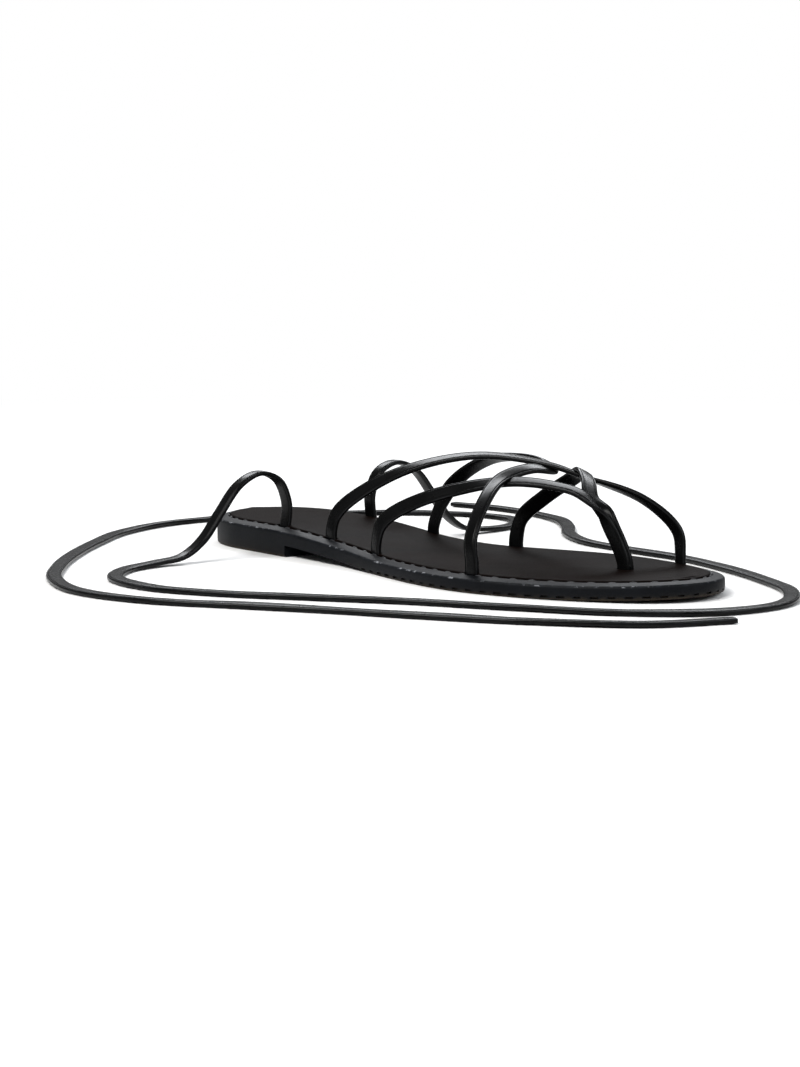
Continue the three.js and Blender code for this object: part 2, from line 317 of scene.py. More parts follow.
def prism(name, corners, low_y, high_y):
    """Closed prism along Y from corners given as (x, z)."""
    return closed_between(
        name, [(x, low_y, z) for x, z in corners], [(x, high_y, z) for x, z in corners]
    )


def closed_between(name, start, end):
    """Closed solid between two outlines with the same number of corners."""
    count = len(start)
    faces = band_faces(2, count)
    faces += [tuple(reversed(range(count))), tuple(range(count, 2 * count))]
    made = add_object(name, start + end, faces)
    sheet = bmesh.new()
    sheet.from_mesh(made.data)
    bmesh.ops.recalc_face_normals(sheet, faces=sheet.faces)
    sheet.to_mesh(made.data)
    sheet.free()
    return made


def upright_box(name, centre, outward, width, thickness, low, high):
    """Box round a slot, its thin side along the outward direction, its corners rounded."""
    out = np.array(outward, dtype=float)
    along = np.array([-out[1], out[0]])
    corners = []
    radius = min(thickness, width) * 0.3
    for sa, sb, start in ((1, 1, 0), (-1, 1, 90), (-1, -1, 180), (1, -1, 270)):
        for step in range(4):
            angle = math.radians(start + step * 30)
            a = sa * (width / 2 - radius) + radius * math.cos(angle)
            b = sb * (thickness / 2 - radius) + radius * math.sin(angle)
            corners.append(np.array(centre)[:2] + along * a + out * b)
    return closed_between(name, [(*c, low) for c in corners], [(*c, high) for c in corners])


def cut(target, cutters, smooth_angle=40, operation="DIFFERENCE"):
    """Cuts the cutters out of the target for good, and removes them."""
    for cutter in cutters:
        modifier = target.modifiers.new("cut", "BOOLEAN")
        modifier.operation = operation
        modifier.solver = "EXACT"
        modifier.object = cutter
    settle(target, smooth_angle)
    for cutter in cutters:
        bpy.data.objects.remove(cutter, do_unlink=True)


def settle(target, smooth_angle=40):
    """Turns an object with modifiers into a plain mesh."""
    graph = bpy.context.evaluated_depsgraph_get()
    mesh = bpy.data.meshes.new_from_object(
        target.evaluated_get(graph), preserve_all_data_layers=True, depsgraph=graph
    )
    target.modifiers.clear()
    target.data = mesh
    mesh.shade_smooth()
    mesh.set_sharp_from_angle(angle=math.radians(smooth_angle))


def finish_piece(made, material, replaced=()):
    made.data.materials.clear()
    made.data.materials.append(material)
    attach(made, "root")
    if replaced:
        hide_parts(*replaced)
    return made


# ---------------------------------------------------------------- node graphs


class Value:
    """A socket that can stand in sums and products."""

    def __init__(self, graph, socket):
        self.graph = graph
        self.socket = socket

    def math(self, operation, *others):
        inputs = dict(enumerate((self, *others)))
        return self.graph.node("ShaderNodeMath", {"operation": operation}, inputs)

    def __add__(self, other):
        return self.math("ADD", other)

    def __sub__(self, other):
        return self.math("SUBTRACT", other)

    def __mul__(self, other):
        return self.math("MULTIPLY", other)

    def __truediv__(self, other):
        return self.math("DIVIDE", other)

    def __rsub__(self, other):
        return self.graph.node("ShaderNodeMath", {"operation": "SUBTRACT"}, {0: other, 1: self})

    __radd__ = __add__
    __rmul__ = __mul__

    def clamped(self):
        return self.graph.node("ShaderNodeClamp", {}, {0: self})

    def between(self, low, high, start=0.0, end=1.0):
        """Goes smoothly from start to end as the value goes from low to high."""
        return self.graph.node(
            "ShaderNodeMapRange",
            {"interpolation_type": "SMOOTHSTEP"},
            {"Value": self, "From Min": low, "From Max": high, "To Min": start, "To Max": end},
        )


class Graph:
    """Adds nodes to a tree and links them."""

    def __init__(self, tree):
        self.tree = tree

    def socket(self, label, kind, default=None, in_out="INPUT"):
        made = self.tree.interface.new_socket(
            label, in_out=in_out, socket_type=f"NodeSocket{kind}"
        )
        if default is not None:
            made.default_value = default

    def given(self, count):
        """The group's inputs, in the order of its sockets."""
        start = self.tree.nodes.new("NodeGroupInput")
        return [Value(self, start.outputs[i]) for i in range(count)]

    def node(self, kind, settings=None, inputs=None, output=0):
        made = self.tree.nodes.new(kind)
        for name, value in (settings or {}).items():
            setattr(made, name, value)
        for key, value in (inputs or {}).items():
            if isinstance(value, Value):
                self.tree.links.new(value.socket, made.inputs[key])
            else:
                made.inputs[key].default_value = value
        return Value(self, made.outputs[output]) if len(made.outputs) else None

    def noise(self, vector, scale, detail=3.0, roughness=0.55):
        return self.node(
            "ShaderNodeTexNoise", {},
            {"Vector": vector, "Scale": scale, "Detail": detail, "Roughness": roughness},
        )

    def mix(self, factor, first, second):
        return self.node(
            "ShaderNodeMix", {"data_type": "RGBA"}, {0: factor, 6: first, 7: second}, output=2
        )

    def mottled(self, patches, colour, darker, lighter):
        """Colour that drifts between a darker and a lighter tint from patch to patch."""
        return self.mix(patches.between(0.3, 0.7), tint(colour, darker), tint(colour, lighter))

    def pores(self, vector, scale):
        return self.node(
            "ShaderNodeTexVoronoi", {"feature": "DISTANCE_TO_EDGE"},
            {"Vector": vector, "Scale": scale},
        )

    def attribute(self, name):
        return self.node("ShaderNodeAttribute", {"attribute_name": name}, output=2)

    def bump(self, height, distance, strength):
        inputs = {"Height": height, "Distance": distance, "Strength": strength}
        return self.node("ShaderNodeBump", {}, inputs)


def new_material(name):
    material = bpy.data.materials.new(name)
    material.use_nodes = True
    material.node_tree.nodes.clear()
    return material, Graph(material.node_tree)


def surface(graph, inputs):
    """Principled surface to the output."""
    shader = graph.node("ShaderNodeBsdfPrincipled", {}, inputs)
    graph.node("ShaderNodeOutputMaterial", {}, {"Surface": shader})


def tint(colour, factor):
    return (*(c * factor for c in colour[:3]), 1.0)


def strap_leather(settings):
    """Smooth satin leather with turned edges, fine grain and cross creases."""
    material, g = new_material("strap leather")
    place_on = g.node("ShaderNodeTexCoord", output=3)
    across = g.attribute("across").math("ABSOLUTE")
    along = g.attribute("along")
    grain = g.noise(place_on, 2600.0, 4.0, 0.6)
    pores = g.pores(place_on, 2100.0)
    patches = g.noise(place_on, 75.0, 3.0, 0.5)
    streak_place = g.node("ShaderNodeCombineXYZ", {}, {0: along * 260.0, 1: across * 0.7, 2: 0.0})
    creases = g.noise(streak_place, 1.0, 3.0, 0.6)
    edge = across.between(0.86, 0.95) * (1.0 - across.between(0.97, 1.0))
    fold = across.between(0.62, 0.73) * (1.0 - across.between(0.75, 0.84))
    base = g.mottled(patches, settings.strap_colour, 0.75, 1.2)
    # painted highlight: a band just inside each edge is lightened patchily to five times the strap
    # colour
    painted_edge_highlight = g.mix(edge * patches.between(0.35, 0.65), base, tint(settings.strap_colour, 5.0))
    # painted shade: the fold line's groove is darkened to 0.15 of the strap colour
    colour = g.mix(fold * 0.9, painted_edge_highlight, tint(settings.strap_colour, 0.15))
    rough = (
        settings.strap_roughness
        + (patches - 0.5) * 0.10
        + (creases - 0.5) * 0.05
        + edge * -0.10
        + fold * 0.30
    )
    height = grain * 0.35 + pores.between(0.0, 0.16) * 0.30 + creases * 0.55
    normal = g.bump(height, 0.00004, 0.35)
    surface(g, {
        "Base Color": colour,
        "Roughness": rough.clamped(),
        "IOR": 1.45,
        "Specular IOR Level": 0.11,
        "Normal": normal,
    })
    return material


def footbed_leather(settings):
    """Smooth brown-black lining with a faint sheen and fine pores."""
    material, g = new_material("footbed lining")
    place_on = g.node("ShaderNodeTexCoord", output=3)
    grain = g.noise(place_on, 1900.0, 5.0, 0.62)
    pores = g.pores(place_on, 1300.0)
    patches = g.noise(place_on, 28.0, 4.0, 0.6)
    edge = g.attribute("edge")
    base = g.mottled(patches, settings.footbed_colour, 0.8, 1.25)
    # painted shade: the footbed's side, where the edge attribute is high, is darkened to half its
    # colour
    colour = g.mix(edge, base, tint(settings.footbed_colour, 0.5))
    rough = settings.footbed_roughness + (patches - 0.5) * 0.22 + (grain - 0.5) * 0.10
    height = grain * 0.5 + pores.between(0.0, 0.2) * 0.5
    surface(g, {
        "Base Color": colour,
        "Roughness": rough.clamped(),
        "IOR": 1.45,
        "Specular IOR Level": 0.01,
        "Normal": g.bump(height, 0.00007, 0.6),
    })
    return material


def sole_rubber(settings):
    """Blue-black moulded rubber with fine grain, paler along its upper corner from wear and from
    painted highlight, with painted glints there.
    """
    material, g = new_material("sole rubber")
    place_on = g.node("ShaderNodeTexCoord", output=3)
    grain = g.noise(place_on, 1500.0, 5.0, 0.65)
    patches = g.noise(place_on, 60.0, 4.0, 0.6)
    scuffs = g.noise(place_on, 330.0, 4.0, 0.7)
    corner = g.attribute("corner")
    lower = g.attribute("lower")
    # wear and painted highlight: the upper corner and rim top are paled patchily to 3.2 times the
    # sole colour
    wear_and_glint = corner.between(0.30, 1.0) * scuffs.between(0.42, 0.66)
    speckle = g.noise(place_on, 520.0, 3.0, 0.6).between(0.55, 0.66)
    # painted glints: pale grey specks along the corner's brightest rows
    glints = corner.between(0.70, 0.95) * speckle * patches.between(0.42, 0.58)
    base = g.mottled(patches, settings.sole_colour, 0.8, 1.2)
    pale = g.mix(wear_and_glint * 0.6, base, tint(settings.sole_colour, 3.2))
    glinting = g.mix(glints, pale, (0.22, 0.23, 0.25, 1.0))
    # painted reflection: the lowest wall is tinted light brown as if lit by bounce from the floor
    painted_floor_bounce = lower * scuffs.between(0.25, 0.6, 0.35, 1.0)
    colour = g.mix(painted_floor_bounce * 0.6, glinting, (0.045, 0.034, 0.022, 1.0))
    rough = settings.sole_roughness + (patches - 0.5) * 0.15 + (grain - 0.5) * 0.15 + wear_and_glint * -0.05
    height = grain * 0.6 + scuffs * 0.4
    surface(g, {
        "Base Color": colour,
        "Roughness": rough.clamped(),
        "IOR": 1.48,
        "Specular IOR Level": 0.09,
        "Normal": g.bump(height, 0.00012, 0.7),
    })
    return material


def thread(settings):
    """Black sewing thread."""
    material, g = new_material("thread")
    place_on = g.node("ShaderNodeTexCoord", output=3)
    fibres = g.noise(place_on, 5000.0, 3.0, 0.6)
    colour = g.mix(fibres, tint(settings.sole_colour, 0.9), tint(settings.sole_colour, 2.6))
    surface(g, {
        "Base Color": colour,
        "Roughness": (0.55 + (fibres - 0.5) * 0.2).clamped(),
        "Normal": g.bump(fibres, 0.00005, 0.5),
    })
    return material


def floor_paper():
    """White paper that is lit near the sandal and glows evenly further off."""
    material, g = new_material("floor")
    place_on = g.node("ShaderNodeTexCoord", output=3)
    far = g.node("ShaderNodeVectorMath", {"operation": "LENGTH"}, {0: place_on}, output=1)
    lit = g.node("ShaderNodeBsdfDiffuse", {}, {"Color": (0.9, 0.9, 0.9, 1.0)})
    glow = g.node("ShaderNodeEmission", {}, {"Color": (1.0, 1.0, 1.0, 1.0), "Strength": 1.0})
    both = g.node("ShaderNodeMixShader", {}, {0: far.between(0.30, 0.85), 1: lit, 2: glow})
    g.node("ShaderNodeOutputMaterial", {}, {"Surface": both})
    return material


# ---------------------------------------------------------------- pieces


def line_object(name, points, edges):
    """Object of bare edges for Geometry Nodes to work on."""
    mesh = bpy.data.meshes.new(name)
    mesh.from_pydata([place(p) for p in points], edges, [])
    made = bpy.data.objects.new(name, mesh)
    bpy.context.scene.collection.objects.link(made)
    return made


def tread_comb(name, start_x, count, settings):
    """Row of ribs across the sole, made by Geometry Nodes, that cuts the tread."""
    g = Graph(bpy.data.node_groups.new("tread comb", "GeometryNodeTree"))
    g.socket("Pitch", "Float", settings.tread_pitch)
    g.socket("Width", "Float", settings.tread_width)
    g.socket("Depth", "Float", COMB_HEIGHT * MM)
    g.socket("Length", "Float", 2 * CUTTER_REACH * MM)
    g.socket("Count", "Int", count)
    g.socket("Geometry", "Geometry", in_out="OUTPUT")
    pitch, width, depth, length, number = g.given(5)
    size = g.node("ShaderNodeCombineXYZ", {}, {0: width, 1: length, 2: depth})
    rib = g.node("GeometryNodeMeshCube", {}, {"Size": size})
    offset = g.node("ShaderNodeCombineXYZ", {}, {0: pitch, 1: 0.0, 2: 0.0})
    row = g.node("GeometryNodeMeshLine", {"mode": "OFFSET"}, {"Count": number, "Offset": offset})
    ribs = g.node("GeometryNodeInstanceOnPoints", {}, {"Points": row, "Instance": rib})
    real = g.node("GeometryNodeRealizeInstances", {}, {"Geometry": ribs})
    done = g.node("GeometryNodeSetMaterial", {}, {"Geometry": real})
    g.node("NodeGroupOutput", {}, {0: done})
    made = line_object(name, [], [])
    made.modifiers.new("comb", "NODES").node_group = g.tree
    settle(made)
    for vertex in made.data.vertices:
        vertex.co += Vector(place((start_x, 0, 0)))
        x = vertex.co.x / MM + SOLE_LENGTH / 2
        vertex.co.z += (toe_spring(x) + settings.tread_depth / MM - COMB_HEIGHT / 2) * MM
    return made


def side_notches(settings):
    """Short dark notches low on the wall of the forefoot, by Geometry Nodes round the edge."""
    guide = ring(0.0, lambda x: toe_spring(x) + NOTCH_Z)
    guide = [p for p in guide if p[0] > NOTCH_START_X]
    made = line_object("side notches", guide, [(i, i + 1) for i in range(len(guide) - 1)])
    g = Graph(bpy.data.node_groups.new("notch row", "GeometryNodeTree"))
    g.socket("Geometry", "Geometry")
    g.socket("Pitch", "Float", settings.tread_pitch)
    for label, size in NOTCH_SIZE.items():
        g.socket(label, "Float", size * MM)
    g.socket("Unevenness", "Float", 0.35)
    g.socket("Seed", "Int", NOTCH_SEED)
    g.socket("Geometry", "Geometry", in_out="OUTPUT")
    line, pitch, length, depth, height, uneven, chance = g.given(7)
    curve = g.node("GeometryNodeMeshToCurve", {}, {"Mesh": line})
    spaced = g.node(
        "GeometryNodeResampleCurve", {"mode": "LENGTH"}, {"Curve": curve, "Length": pitch}
    )
    turn = g.node(
        "FunctionNodeAlignRotationToVector", {"axis": "X"},
        {"Vector": g.node("GeometryNodeInputTangent")},
    )
    block = g.node(
        "GeometryNodeMeshCube", {},
        {"Size": g.node("ShaderNodeCombineXYZ", {}, {0: length, 1: depth, 2: height})},
    )
    spread = g.node(
        "FunctionNodeRandomValue", {"data_type": "FLOAT"},
        {"Min": 1.0 - uneven, "Max": 1.0, "Seed": chance}, output=1,
    )
    scale = g.node("ShaderNodeCombineXYZ", {}, {0: spread, 1: 1.0, 2: spread})
    notches = g.node(
        "GeometryNodeInstanceOnPoints", {},
        {"Points": spaced, "Instance": block, "Rotation": turn, "Scale": scale},
    )
    real = g.node("GeometryNodeRealizeInstances", {}, {"Geometry": notches})
    done = g.node("GeometryNodeSetMaterial", {}, {"Geometry": real})
    g.node("NodeGroupOutput", {}, {0: done})
    made.modifiers.new("notches", "NODES").node_group = g.tree
    settle(made)
    return made


def build_outsole(settings):
    # Rings from the underside round the wall and the rim down into the recess: how far inwards,
    # how high, how worn and brightened by painted highlight the corner is, and how much floor
    # reflection is painted on the lower wall
    def top(x):
        return underside(x) + WALL_HEIGHT

    profile = [
        (2.2, toe_spring, 0, 1),
        (0.7, toe_spring, 0, 1),
        (0.28, lambda x: toe_spring(x) + 0.16, 0, 1),
        (0.06, lambda x: toe_spring(x) + 0.5, 0, 1),
        (0.0, lambda x: toe_spring(x) + 0.9, 0, 0.5),
        (-0.05, lambda x: toe_spring(x) + 1.6, 0, 0.1),
        (-0.08, lambda x: 0.5 * (toe_spring(x) + top(x)), 0, 0),
        (0.0, lambda x: top(x) - 1.3, 0.1, 0),
        (0.06, lambda x: top(x) - 0.75, 0.5, 0),
        (0.2, lambda x: top(x) - 0.32, 1, 0),
        (0.5, lambda x: top(x) - 0.04, 1, 0),
        (0.95, lambda x: top(x) + 0.1, 0.6, 0),
        (1.8, lambda x: top(x) + 0.34, 0.15, 0),
        (3.2, lambda x: top(x) + 0.68, 0.0, 0),
        (3.75, lambda x: top(x) + 0.84, 0.35, 0),
        (4.0, lambda x: top(x) + 0.82, 0.7, 0),
        (4.25, lambda x: top(x) + 0.66, 0.3, 0),
        (4.7, lambda x: top(x) + 0.15, 0, 0),
        (4.72, recess_floor, 0, 0),
    ]
    rings = [ring(row[0], row[1]) for row in profile]
    attributes = {
        "corner": [row[2] for row in profile for _ in range(RING)],
        "lower": [row[3] for row in profile for _ in range(RING)],
    }
    made = sole_solid("outsole_moulding", rings, attributes)
    arch = [(ARCH_END, -5), (HEEL_BREAST_X, -5)]
    arch += [(x, underside(x)) for x in np.linspace(HEEL_BREAST_X, ARCH_END, 40)]
    cutters = [prism("arch cutter", arch, -CUTTER_REACH, CUTTER_REACH)]
    for name, (start, count) in (("heel comb", HEEL_COMB), ("fore comb", FORE_COMB)):
        comb = tread_comb(name, start, count, settings)
        within = sole_solid("tread field", [
            ring(TREAD_INSET, lambda x: -10.0), ring(TREAD_INSET, lambda x: 10.0)
        ])
        cut(comb, [within], operation="INTERSECT")
        cutters.append(comb)
    cutters.append(side_notches(settings))
    cut(made, cutters, 35)
    return finish_piece(made, sole_rubber(settings), ["outsole"])


def build_footbed(settings):
    edge = RIM_WIDTH + GAP
    # Rings from the lower face up and over the edge: how far inwards, how high and how much shade
    # is painted on
    profile = [
        (edge + 0.4, lambda x: recess_floor(x) + GAP, 1),
        (edge, lambda x: recess_floor(x) + GAP + 0.3, 1),
        (edge, lambda x: footbed_top(x) - 0.8, 1),
        (edge + 0.08, lambda x: footbed_top(x) - 0.42, 0.8),
        (edge + 0.32, lambda x: footbed_top(x) - 0.14, 0.5),
        (edge + 0.75, lambda x: footbed_top(x) - 0.01, 0.2),
        (edge + 1.5, lambda x: footbed_top(x) + 0.04, 0),
    ]
    rings = [ring(row[0], row[1]) for row in profile]
    # the third column is painted shade on the footbed's side, kept in the edge attribute
    dark = [row[2] for row in profile for _ in range(RING)]
    outer = rings[-1]
    for share in (0.12, 0.28, 0.48, 0.7, 0.9):
        row = []
        for i, (x, y, _) in enumerate(outer):
            px, py, _ = outer[(RING - i) % RING]
            mid_x, mid_y = (x + px) / 2, (y + py) / 2
            lift = settings.footbed_crown / MM * (1 - (1 - share) ** 2)
            nx, ny = x + (mid_x - x) * share, y + (mid_y - y) * share
            lump = noise.noise(Vector((nx * 0.03, ny * 0.03, 4.0))) * 0.12 * share
            row.append((nx, ny, footbed_top(nx) + 0.04 + lift + lump))
        rings.append(row)
        dark += [0.0] * RING
    made = sole_solid("footbed_lining", rings, {"edge": dark})
    width, thickness = STRAP_WIDTH + 2 * GAP, STRAP_THICKNESS + 2 * GAP
    slots = []
    for start, end, _ in STRAPS.values():
        for x, side in (start, end):
            if not side.startswith("post"):
                point, out = slot_at(x, side)
                slots.append((point, out, thickness))
    for side in TIES:
        point, _ = slot_at(TIE_X, side, TIE_INSET)
        slots.append((point, (0, 1), thickness + 2 * GAP))
    slots.append(((POST_X, POST_Y), (0, 1), POST_LAYERS + 2 * GAP))
    cutters = [
        upright_box("slot", point, out, width, thick, SLOT_LOW, SLOT_HIGH)
        for point, out, thick in slots
    ]
    cut(made, cutters, 40)
    return finish_piece(made, footbed_leather(settings), ["footbed"])


def build_stitching(settings):
    """Stitches laid in the groove round the footbed, by Geometry Nodes along a guide line."""
    guide = ring(RIM_WIDTH - 0.1, lambda x: rim_height(x) - STITCH_SINK)
    made = line_object("rim_stitching", guide, [(i, (i + 1) % RING) for i in range(RING)])
    g = Graph(bpy.data.node_groups.new("stitch row", "GeometryNodeTree"))
    g.socket("Geometry", "Geometry")
    g.socket("Pitch", "Float", settings.stitch_pitch)
    g.socket("Thread", "Float", settings.stitch_thread)
    g.socket("Material", "Material")
    g.socket("Geometry", "Geometry", in_out="OUTPUT")
    line, pitch, thick, finish = g.given(4)
    curve = g.node("GeometryNodeMeshToCurve", {}, {"Mesh": line})
    spaced = g.node(
        "GeometryNodeResampleCurve", {"mode": "LENGTH"}, {"Curve": curve, "Length": pitch}
    )
    tangent = g.node("GeometryNodeInputTangent")
    turn = g.node(
        "FunctionNodeAlignRotationToVector", {"axis": "X"}, {"Vector": tangent}
    )
    bead = g.node("GeometryNodeMeshUVSphere", {}, {"Segments": 10, "Rings": 6, "Radius": 0.5})
    size = g.node("ShaderNodeCombineXYZ", {}, {0: pitch * STITCH_SHARE, 1: thick, 2: thick})
    stitches = g.node(
        "GeometryNodeInstanceOnPoints", {},
        {"Points": spaced, "Instance": bead, "Rotation": turn, "Scale": size},
    )
    real = g.node("GeometryNodeRealizeInstances", {}, {"Geometry": stitches})
    done = g.node("GeometryNodeSetMaterial", {}, {"Geometry": real, "Material": finish})
    g.node("NodeGroupOutput", {}, {0: done})
    modifier = made.modifiers.new("stitches", "NODES")
    modifier.node_group = g.tree
    finish_material = thread(settings)
    for item in g.tree.interface.items_tree:
        if item.in_out == "INPUT" and item.name == "Material":
            modifier[item.identifier] = finish_material
    settle(made, 60)
    finish_piece(made, finish_material)
    return made


def strap_section(count=60):
    """Section of the strap: soft-crowned faces, turned edges and a fold line near them."""
    section = []
    w, t = STRAP_WIDTH / 2, STRAP_THICKNESS / 2
    for i in range(count):
        angle = 2 * math.pi * i / count
        c, s = math.cos(angle), math.sin(angle)
        a = w * math.copysign(abs(c) ** 0.62, c)
        b = t * math.copysign(abs(s) ** 0.55, s)
        if s > 0:
            b -= 0.17 * math.exp(-(((abs(a) - w * 0.73) / (w * 0.06)) ** 2))
            b += 0.09 * math.exp(-(((abs(a) - w * 0.87) / (w * 0.07)) ** 2))
        section.append((a, b))
    return section


def ribbon(name, runs):
    """Closed straps lofted along (points, facings) pairs, all in one mesh."""
    section = strap_section()
    count = len(section)
    points, faces, along, across = [], [], [], []
    for line, facings, lengths in runs:
        base = len(points)
        tangents = np.gradient(line, axis=0)
        tangents /= np.linalg.norm(tangents, axis=1)[:, None]
        for centre, tangent, facing, length in zip(line, tangents, facings, lengths):
            facing = facing - tangent * np.dot(facing, tangent)
            facing = facing / np.linalg.norm(facing)
            side = np.cross(facing, tangent)
            for a, b in section:
                points.append(centre + side * a + facing * b)
                along.append(length * MM)
                across.append(a / (STRAP_WIDTH / 2))
        faces += [tuple(base + v for v in face) for face in band_faces(len(line), count)]
        last = base + (len(line) - 1) * count
        faces += [tuple(reversed(range(base, base + count))), tuple(range(last, last + count))]
    return add_object(name, points, faces, {"along": along, "across": across}, 50)


def out_of_last(point):
    """Direction out of the foot that the straps went round."""
    side = smoothstep(abs(point[1] - CORE_Y), 8, 22)
    core_z = CORE_MIDDLE_Z + (CORE_SIDE_Z - CORE_MIDDLE_Z) * side
    lean = CORE_LEAN * (point[2] - core_z)
    return np.array([lean, point[1] - CORE_Y, point[2] - core_z])


def strap_foot(x, side):
    """Lowest point of a strap, a point straight above it, and its facing."""
    if side.startswith("post"):
        turn = 1 if side == "post outer" else -1
        flat, out = (x, POST_Y - turn * POST_OFFSET), (0.0, turn)
    else:
        flat, out = slot_at(x, side)
    low = (flat[0], flat[1], recess_floor(x - STRAP_WIDTH / 2) + GAP)
    high = (flat[0], flat[1], footbed_top(x) + 3)
    turn_over = POST_TURN if side.startswith("post") else FOOT_TURN
    return low, high, np.array([out[0], out[1], 0.0]), turn_over


def build_straps(settings):
    runs = []
    for start, end, rows in STRAPS.values():
        low_a, high_a, out_a, turn_a = strap_foot(*start)
        low_b, high_b, out_b, turn_b = strap_foot(*end)
        dense = curve_through([low_a, high_a, *rows, high_b, low_b], steps=16)
        line, lengths = evenly(dense, STRAP_STEP)
        total = lengths[-1]
        facings = []
        for point, length in zip(line, lengths):
            facing = out_of_last(point)
            facing = facing / np.linalg.norm(facing)
            near_a = 1 - smoothstep(length, *turn_a)
            near_b = 1 - smoothstep(total - length, *turn_b)
            facing = facing + (out_a - facing) * near_a
            facing = facing + (out_b - facing) * near_b
            facings.append(facing)
        runs.append((line, facings, lengths))
    made = ribbon("upper_straps", runs)
    return finish_piece(made, strap_leather(settings), ["upper"])


def tie_line(side):
    """Middle line of a tie, its facings and its lengths from the slot."""
    point, _ = slot_at(TIE_X, side, TIE_INSET)
    turn = -1 if side == "lateral" else 1
    rows = [(TIE_X, point[1], recess_floor(TIE_X - STRAP_WIDTH / 2) + GAP)]
    rows += [(TIE_X, point[1] + turn * y, z) for y, z in TIE_RISE]
    flat = TIES[side]
    rows.append((*flat[0], FLOOR_REST + TOUCH_DOWN))
    rows += [(x, y, FLOOR_REST) for x, y in flat[1:]]
    line, lengths = evenly(curve_through(rows, steps=20), TIE_STEP)
    facings = []
    facing = np.array([0.0, -turn, 0.0])
    tangents = np.gradient(line, axis=0)
    tangents /= np.linalg.norm(tangents, axis=1)[:, None]
    for i, length in enumerate(lengths):
        facing = facing - tangents[i] * np.dot(facing, tangents[i])
        facing /= np.linalg.norm(facing)
        sway = math.radians(SWAY_DEGREES) * smoothstep(length, SWAY_START, SWAY_END)
        roll = sway * noise.noise(Vector((length * 0.018, turn * 3.0, 0.0)))
        side_way = np.cross(facing, tangents[i])
        facings.append(facing * math.cos(roll) + side_way * math.sin(roll))
        if length > SWAY_START:
            line[i][2] += abs(math.sin(roll)) * STRAP_WIDTH / 2
    return line, facings, lengths


def build_ties(settings):
    leather = strap_leather(settings)
    for side in TIES:
        line, facings, lengths = tie_line(side)
        made = ribbon(f"tie_{side}_strap", [(line, facings, lengths)])
        finish_piece(made, leather, [f"tie_{side}"])
        start = int(np.searchsorted(line[:12, 2], footbed_top(TIE_X)))
        place(line[start])
        [place(p) for p in line]


def area_light(name, power, size, position, target, colour=(1, 1, 1)):
    data = bpy.data.lights.new(name, "AREA")
    data.energy = power
    data.shape = "RECTANGLE"
    data.size, data.size_y = size
    data.color = colour
    lamp = bpy.data.objects.new(name, data)
    bpy.context.scene.collection.objects.link(lamp)
    lamp.location = position
    lamp.rotation_euler = (Vector(target) - Vector(position)).to_track_quat("-Z", "Y").to_euler()


def build_stage(settings):
    """Camera, floor, lights and a white surround."""
    scene = bpy.context.scene
    data = bpy.data.cameras.new("camera")
    data.lens = settings.lens
    camera = bpy.data.objects.new("camera", data)
    scene.collection.objects.link(camera)
    scene.camera = camera
    aim = Vector(settings.aim)
    azimuth, elevation = math.radians(VIEW_AZIMUTH), math.radians(VIEW_ELEVATION)
    level = math.cos(elevation)
    towards = Vector((math.sin(azimuth) * level, -math.cos(azimuth) * level, math.sin(elevation)))
    camera.location = aim + towards * VIEW_DISTANCE
    camera.rotation_euler = (aim - camera.location).to_track_quat("-Z", "Y").to_euler()
    data.clip_start, data.clip_end = 0.05, 60.0

    mesh = bpy.data.meshes.new("floor")
    far = 12.0
    corners = [(-far, -far, 0), (far, -far, 0), (far, far, 0), (-far, far, 0)]
    mesh.from_pydata(corners, [], [(0, 1, 2, 3)])
    floor = bpy.data.objects.new("floor", mesh)
    scene.collection.objects.link(floor)
    mesh.materials.append(floor_paper())

    world = bpy.data.worlds.new("surround")
    scene.world = world
    world.use_nodes = True
    world.node_tree.nodes.clear()
    g = Graph(world.node_tree)
    seen = g.node("ShaderNodeLightPath", output=0)
    strength = seen * (1.0 - settings.surround) + settings.surround
    sky = g.node("ShaderNodeBackground", {}, {"Color": (1, 1, 1, 1), "Strength": strength})
    g.node("ShaderNodeOutputWorld", {}, {"Surface": sky})
    key = settings.key_power
    area_light("key", key, (0.9, 0.6), (0.1, -0.9, 1.1), (0.02, 0, 0.02), (1.0, 0.99, 0.97))
    area_light("fill", key * 0.45, (0.8, 0.8), (1.2, 0.5, 0.9), (0, 0, 0.02), (0.94, 0.97, 1.0))
    area_light("back", key * 0.75, (1.2, 0.5), (-0.9, 0.8, 0.9), (0, 0, 0.02), (0.95, 0.97, 1.0))
    scene.view_settings.view_transform = "Standard"


# ---------------------------------------------------------------- add-on


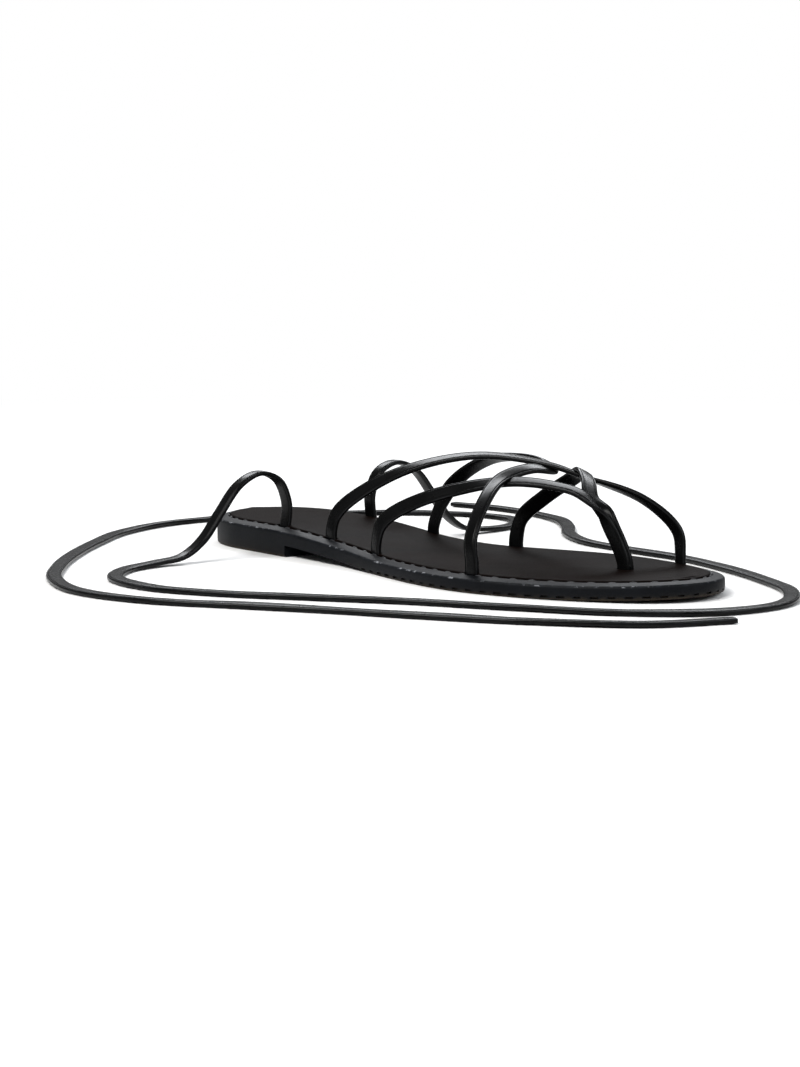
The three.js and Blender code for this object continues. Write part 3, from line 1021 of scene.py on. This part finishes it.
class SandalSettings(bpy.types.PropertyGroup):
    """Sizes and colours of the sandal."""

    strap_colour: FloatVectorProperty(
        name="Strap colour", description="Colour of the strap leather",
        default=(0.0028, 0.0029, 0.0031), subtype="COLOR", min=0, max=1,
    )
    strap_roughness: FloatProperty(
        name="Strap roughness", description="Gloss of the strap leather",
        default=0.27, min=0, max=1,
    )
    footbed_colour: FloatVectorProperty(
        name="Footbed colour", description="Colour of the footbed's lining",
        default=(0.0050, 0.0030, 0.0025), subtype="COLOR", min=0, max=1,
    )
    footbed_roughness: FloatProperty(
        name="Footbed roughness", description="Gloss of the footbed", default=0.46, min=0, max=1,
    )
    footbed_crown: FloatProperty(
        name="Footbed crown", description="Rise of the footbed's middle",
        default=0.35 * MM, unit="LENGTH",
    )
    sole_colour: FloatVectorProperty(
        name="Sole colour", description="Colour of the moulded sole",
        default=(0.0044, 0.0051, 0.0066), subtype="COLOR", min=0, max=1,
    )
    sole_roughness: FloatProperty(
        name="Sole roughness", description="Gloss of the moulded sole", default=0.52, min=0, max=1,
    )
    tread_pitch: FloatProperty(
        name="Tread pitch", description="Distance between the tread's grooves",
        default=6.0 * MM, unit="LENGTH",
    )
    tread_width: FloatProperty(
        name="Tread width", description="Width of a groove", default=2.4 * MM, unit="LENGTH",
    )
    tread_depth: FloatProperty(
        name="Tread depth", description="Depth of a groove", default=1.0 * MM, unit="LENGTH",
    )
    stitch_pitch: FloatProperty(
        name="Stitch pitch", description="Distance between stitches round the footbed",
        default=7.3 * MM, unit="LENGTH",
    )
    stitch_thread: FloatProperty(
        name="Thread", description="Thickness of the thread", default=0.95 * MM, unit="LENGTH",
    )
    lens: FloatProperty(name="Lens", description="Focal length in millimetres", default=95.0)
    aim: FloatVectorProperty(
        name="Aim", description="Point that the camera looks at",
        default=(-0.0117, -0.0136, 0.012), subtype="TRANSLATION",
    )
    surround: FloatProperty(
        name="Surround", description="Brightness of the white surround in reflections",
        default=0.17, min=0,
    )
    key_power: FloatProperty(
        name="Key light", description="Power of the main light", default=21.0, min=0, unit="POWER",
    )


class SandalOperator:
    """Shared by the operators that make a piece."""

    bl_options = {"REGISTER", "UNDO"}

    def execute(self, context):
        type(self).build(context.scene.sandal)
        return {"FINISHED"}


class SANDAL_OT_stage(SandalOperator, bpy.types.Operator):
    """Make the camera, the floor and the lights."""

    bl_idname = "sandal.stage"
    bl_label = "Stage"
    build = staticmethod(build_stage)


class SANDAL_OT_ties(SandalOperator, bpy.types.Operator):
    """Make the two long ties."""

    bl_idname = "sandal.ties"
    bl_label = "Ties"
    build = staticmethod(build_ties)


class SANDAL_OT_outsole(SandalOperator, bpy.types.Operator):
    """Make the moulded sole."""

    bl_idname = "sandal.outsole"
    bl_label = "Outsole"
    build = staticmethod(build_outsole)


class SANDAL_OT_footbed(SandalOperator, bpy.types.Operator):
    """Make the lined footbed with its slots."""

    bl_idname = "sandal.footbed"
    bl_label = "Footbed"
    build = staticmethod(build_footbed)


class SANDAL_OT_stitching(SandalOperator, bpy.types.Operator):
    """Make the stitches round the footbed."""

    bl_idname = "sandal.stitching"
    bl_label = "Stitching"
    build = staticmethod(build_stitching)


class SANDAL_OT_straps(SandalOperator, bpy.types.Operator):
    """Make the four crossing straps."""

    bl_idname = "sandal.straps"
    bl_label = "Straps"
    build = staticmethod(build_straps)


OPERATORS = [
    SANDAL_OT_stage, SANDAL_OT_ties, SANDAL_OT_outsole, SANDAL_OT_footbed,
    SANDAL_OT_stitching, SANDAL_OT_straps,
]


class SANDAL_PT_panel(bpy.types.Panel):
    """Sidebar panel with the sandal's pieces."""

    bl_label = "Sandal"
    bl_idname = "SANDAL_PT_panel"
    bl_space_type = "VIEW_3D"
    bl_region_type = "UI"
    bl_category = "Sandal"

    def draw(self, context):
        for name in SandalSettings.__annotations__:
            self.layout.prop(context.scene.sandal, name)
        for operator in OPERATORS:
            self.layout.operator(operator.bl_idname)


CLASSES = [SandalSettings, *OPERATORS, SANDAL_PT_panel]


def register():
    for cls in CLASSES:
        bpy.utils.register_class(cls)
    bpy.types.Scene.sandal = PointerProperty(type=SandalSettings)


def unregister():
    del bpy.types.Scene.sandal
    for cls in reversed(CLASSES):
        bpy.utils.unregister_class(cls)


def main():
    register()
    for operator in OPERATORS:
        group, name = operator.bl_idname.split(".")
        getattr(getattr(bpy.ops, group), name)()


if __name__ == "__main__":
    main()
